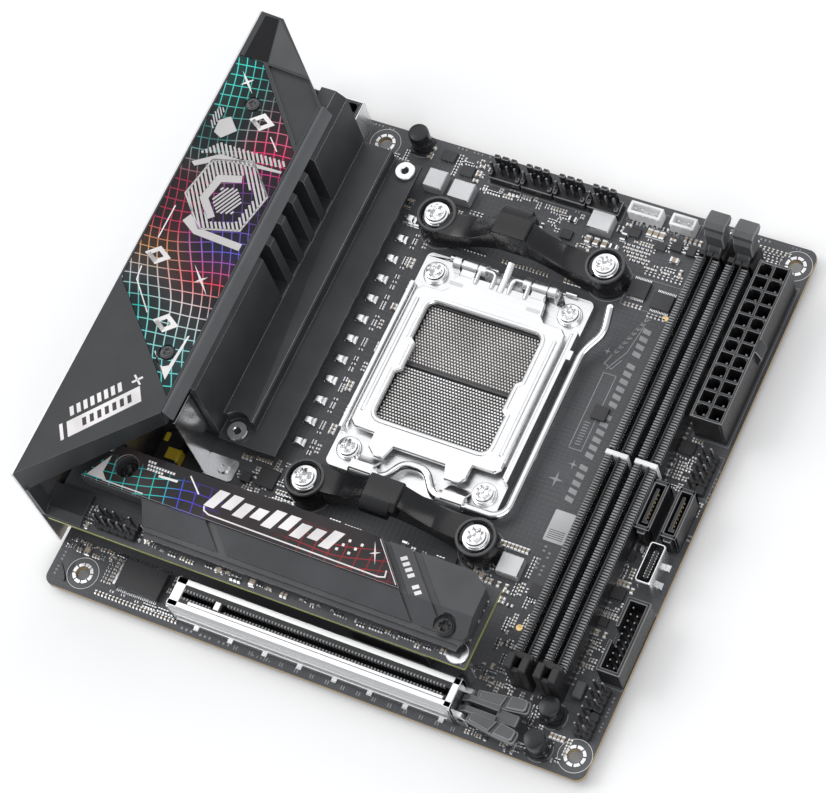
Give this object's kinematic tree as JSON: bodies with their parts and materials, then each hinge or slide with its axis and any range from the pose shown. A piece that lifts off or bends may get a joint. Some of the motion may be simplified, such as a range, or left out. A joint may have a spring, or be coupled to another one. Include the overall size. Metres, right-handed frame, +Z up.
{
  "type": "computer motherboard",
  "caption": "small square computer motherboard with a processor socket, two memory slots, an expansion slot, covered rear ports and finned heatsinks",
  "frame": {"origin": "under the middle of the outline in plan, level with the ends of the solder tails and the backplate", "axes": "+X from the rear port panel to the front edge, +Y from the expansion slot's edge to the opposite edge, +Z up out of the component side"},
  "size_m": [0.172, 0.172, 0.048],
  "materials": {
    "pcb": "black solder mask over glass-fibre board",
    "io_shield": "thin brushed steel",
    "io_cover": "dark grey satin coating",
    "cover_panel": "satin plate with a printed colour grid",
    "cover_trim": "grey satin strip",
    "cover_screws": "black cross-head screws",
    "vrm_heatsink": "black blasted and anodised",
    "vrm_pads": "soft grey thermal pad",
    "power_stages": "moulded chip",
    "vrm_chokes": "pressed grey powder core",
    "heatsink_screws": "bright screws",
    "side_bracket": "polished sheet steel",
    "capacitors": "metal cans and chip capacitors",
    "filter_chokes": "light grey pressed core",
    "storage_board": "black solder mask",
    "storage_heatsink": "dark grey blasted and anodised",
    "storage_top_plate": "glossy printed plate",
    "storage_standoffs": "bright hexagonal standoffs",
    "stack_connectors": "black moulded housings",
    "chipset": "chip with a small black heatsink",
    "audio_header": "black base with tinned pins",
    "pcie_slot": "black moulding with contacts",
    "pcie_shell": "bright steel sleeve",
    "pcie_latch": "dark grey plastic",
    "dimm_slots": "black moulding with contacts",
    "dimm_latch_a": "grey plastic",
    "dimm_latch_b": "grey plastic",
    "atx_power_socket": "black moulding",
    "cpu_power_socket": "black moulding",
    "cpu_power_shell": "folded steel sleeve",
    "sata_ports": "black moulding",
    "usb_c_header": "drawn steel shell",
    "usb3_header": "black box header with pins",
    "usb2_header": "black base with tinned pins",
    "front_panel_header": "black base with tinned pins",
    "fan_headers": "black base with tinned pins",
    "light_headers": "white moulding",
    "cpu_socket": "black moulding",
    "socket_contacts": "field of gold-plated spring contacts",
    "load_frame": "bright stainless steel",
    "load_plate": "bright stainless steel",
    "socket_lever": "bright steel wire",
    "frame_screws": "bright screws",
    "bracket_top": "black glass-filled plastic",
    "bracket_bottom": "black glass-filled plastic",
    "bracket_screws": "bright screws",
    "backplate": "zinc-plated steel plate",
    "controllers": "moulded chips",
    "battery": "yellow sleeve",
    "wifi_module": "screened module with two flush antenna jacks",
    "usb_stack_a": "tinned steel can",
    "usb_stack_b": "tinned steel can",
    "usb_stack_c": "tinned steel can",
    "usb_c_ports": "tinned steel shells",
    "video_port": "tinned steel can",
    "lan_jack": "tinned steel can",
    "audio_jacks": "black moulding",
    "button_switches": "black moulding",
    "flash_button": "dark plastic button",
    "clear_button": "dark plastic button"
  },
  "bodies": {
    "board": {"pcb": "pcb", "io_shield": "io_shield", "io_cover": "io_cover", "cover_panel": "cover_panel", "cover_trim": "cover_trim", "cover_screws": "cover_screws", "vrm_heatsink": "vrm_heatsink", "vrm_pads": "vrm_pads", "power_stages": "power_stages", "vrm_chokes": "vrm_chokes", "heatsink_screws": "heatsink_screws", "side_bracket": "side_bracket", "capacitors": "capacitors", "filter_chokes": "filter_chokes", "storage_board": "storage_board", "storage_heatsink": "storage_heatsink", "storage_top_plate": "storage_top_plate", "storage_standoffs": "storage_standoffs", "stack_connectors": "stack_connectors", "chipset": "chipset", "audio_header": "audio_header", "pcie_slot": "pcie_slot", "pcie_shell": "pcie_shell", "dimm_slots": "dimm_slots", "atx_power_socket": "atx_power_socket", "cpu_power_socket": "cpu_power_socket", "cpu_power_shell": "cpu_power_shell", "sata_ports": "sata_ports", "usb_c_header": "usb_c_header", "usb3_header": "usb3_header", "usb2_header": "usb2_header", "front_panel_header": "front_panel_header", "fan_headers": "fan_headers", "light_headers": "light_headers", "cpu_socket": "cpu_socket", "socket_contacts": "socket_contacts", "load_frame": "load_frame", "frame_screws": "frame_screws", "bracket_top": "bracket_top", "bracket_bottom": "bracket_bottom", "bracket_screws": "bracket_screws", "backplate": "backplate", "controllers": "controllers", "battery": "battery", "wifi_module": "wifi_module", "usb_stack_a": "usb_stack_a", "usb_stack_b": "usb_stack_b", "usb_stack_c": "usb_stack_c", "usb_c_ports": "usb_c_ports", "video_port": "video_port", "lan_jack": "lan_jack", "audio_jacks": "audio_jacks", "button_switches": "button_switches"},
    "body_load_plate": {"load_plate": "load_plate"},
    "body_socket_lever": {"socket_lever": "socket_lever"},
    "body_pcie_latch": {"pcie_latch": "pcie_latch"},
    "body_dimm_latch_a": {"dimm_latch_a": "dimm_latch_a"},
    "body_dimm_latch_b": {"dimm_latch_b": "dimm_latch_b"},
    "body_flash_button": {"flash_button": "flash_button"},
    "body_clear_button": {"clear_button": "clear_button"}
  },
  "joints": [
    {"name": "load_plate_hinge", "type": "hinge", "parent": "board", "child": "body_load_plate", "pos_m": [0.0052, 0.04535, 0.0087], "axis": [-1, 0, 0], "range_deg": [0, 105]},
    {"name": "socket_lever_hinge", "type": "hinge", "parent": "board", "child": "body_socket_lever", "pos_m": [0.0052, -0.02445, 0.0076], "axis": [1, 0, 0], "range_deg": [0, 105]},
    {"name": "pcie_latch_hinge", "type": "hinge", "parent": "board", "child": "body_pcie_latch", "pos_m": [0.0492, -0.07845, 0.0088], "axis": [0, 1, 0], "range_deg": [0, 12], "stiffness_Nm_per_rad": 0.02, "springref_deg": -2.86},
    {"name": "dimm_latch_a_hinge", "type": "hinge", "parent": "board", "child": "body_dimm_latch_a", "pos_m": [0.0598, 0.07255, 0.0076], "axis": [-1, 0, 0], "range_deg": [0, 22]},
    {"name": "dimm_latch_b_hinge", "type": "hinge", "parent": "board", "child": "body_dimm_latch_b", "pos_m": [0.0686, 0.07255, 0.0076], "axis": [-1, 0, 0], "range_deg": [0, 22]},
    {"name": "flash_button_press", "type": "slide", "parent": "board", "child": "body_flash_button", "axis": [1, 0, 0], "range_m": [0, 0.0012], "stiffness_N_per_m": 300, "springref_m": -0.0004},
    {"name": "clear_button_press", "type": "slide", "parent": "board", "child": "body_clear_button", "axis": [1, 0, 0], "range_m": [0, 0.0012], "stiffness_N_per_m": 300, "springref_m": -0.0004}
  ]
}
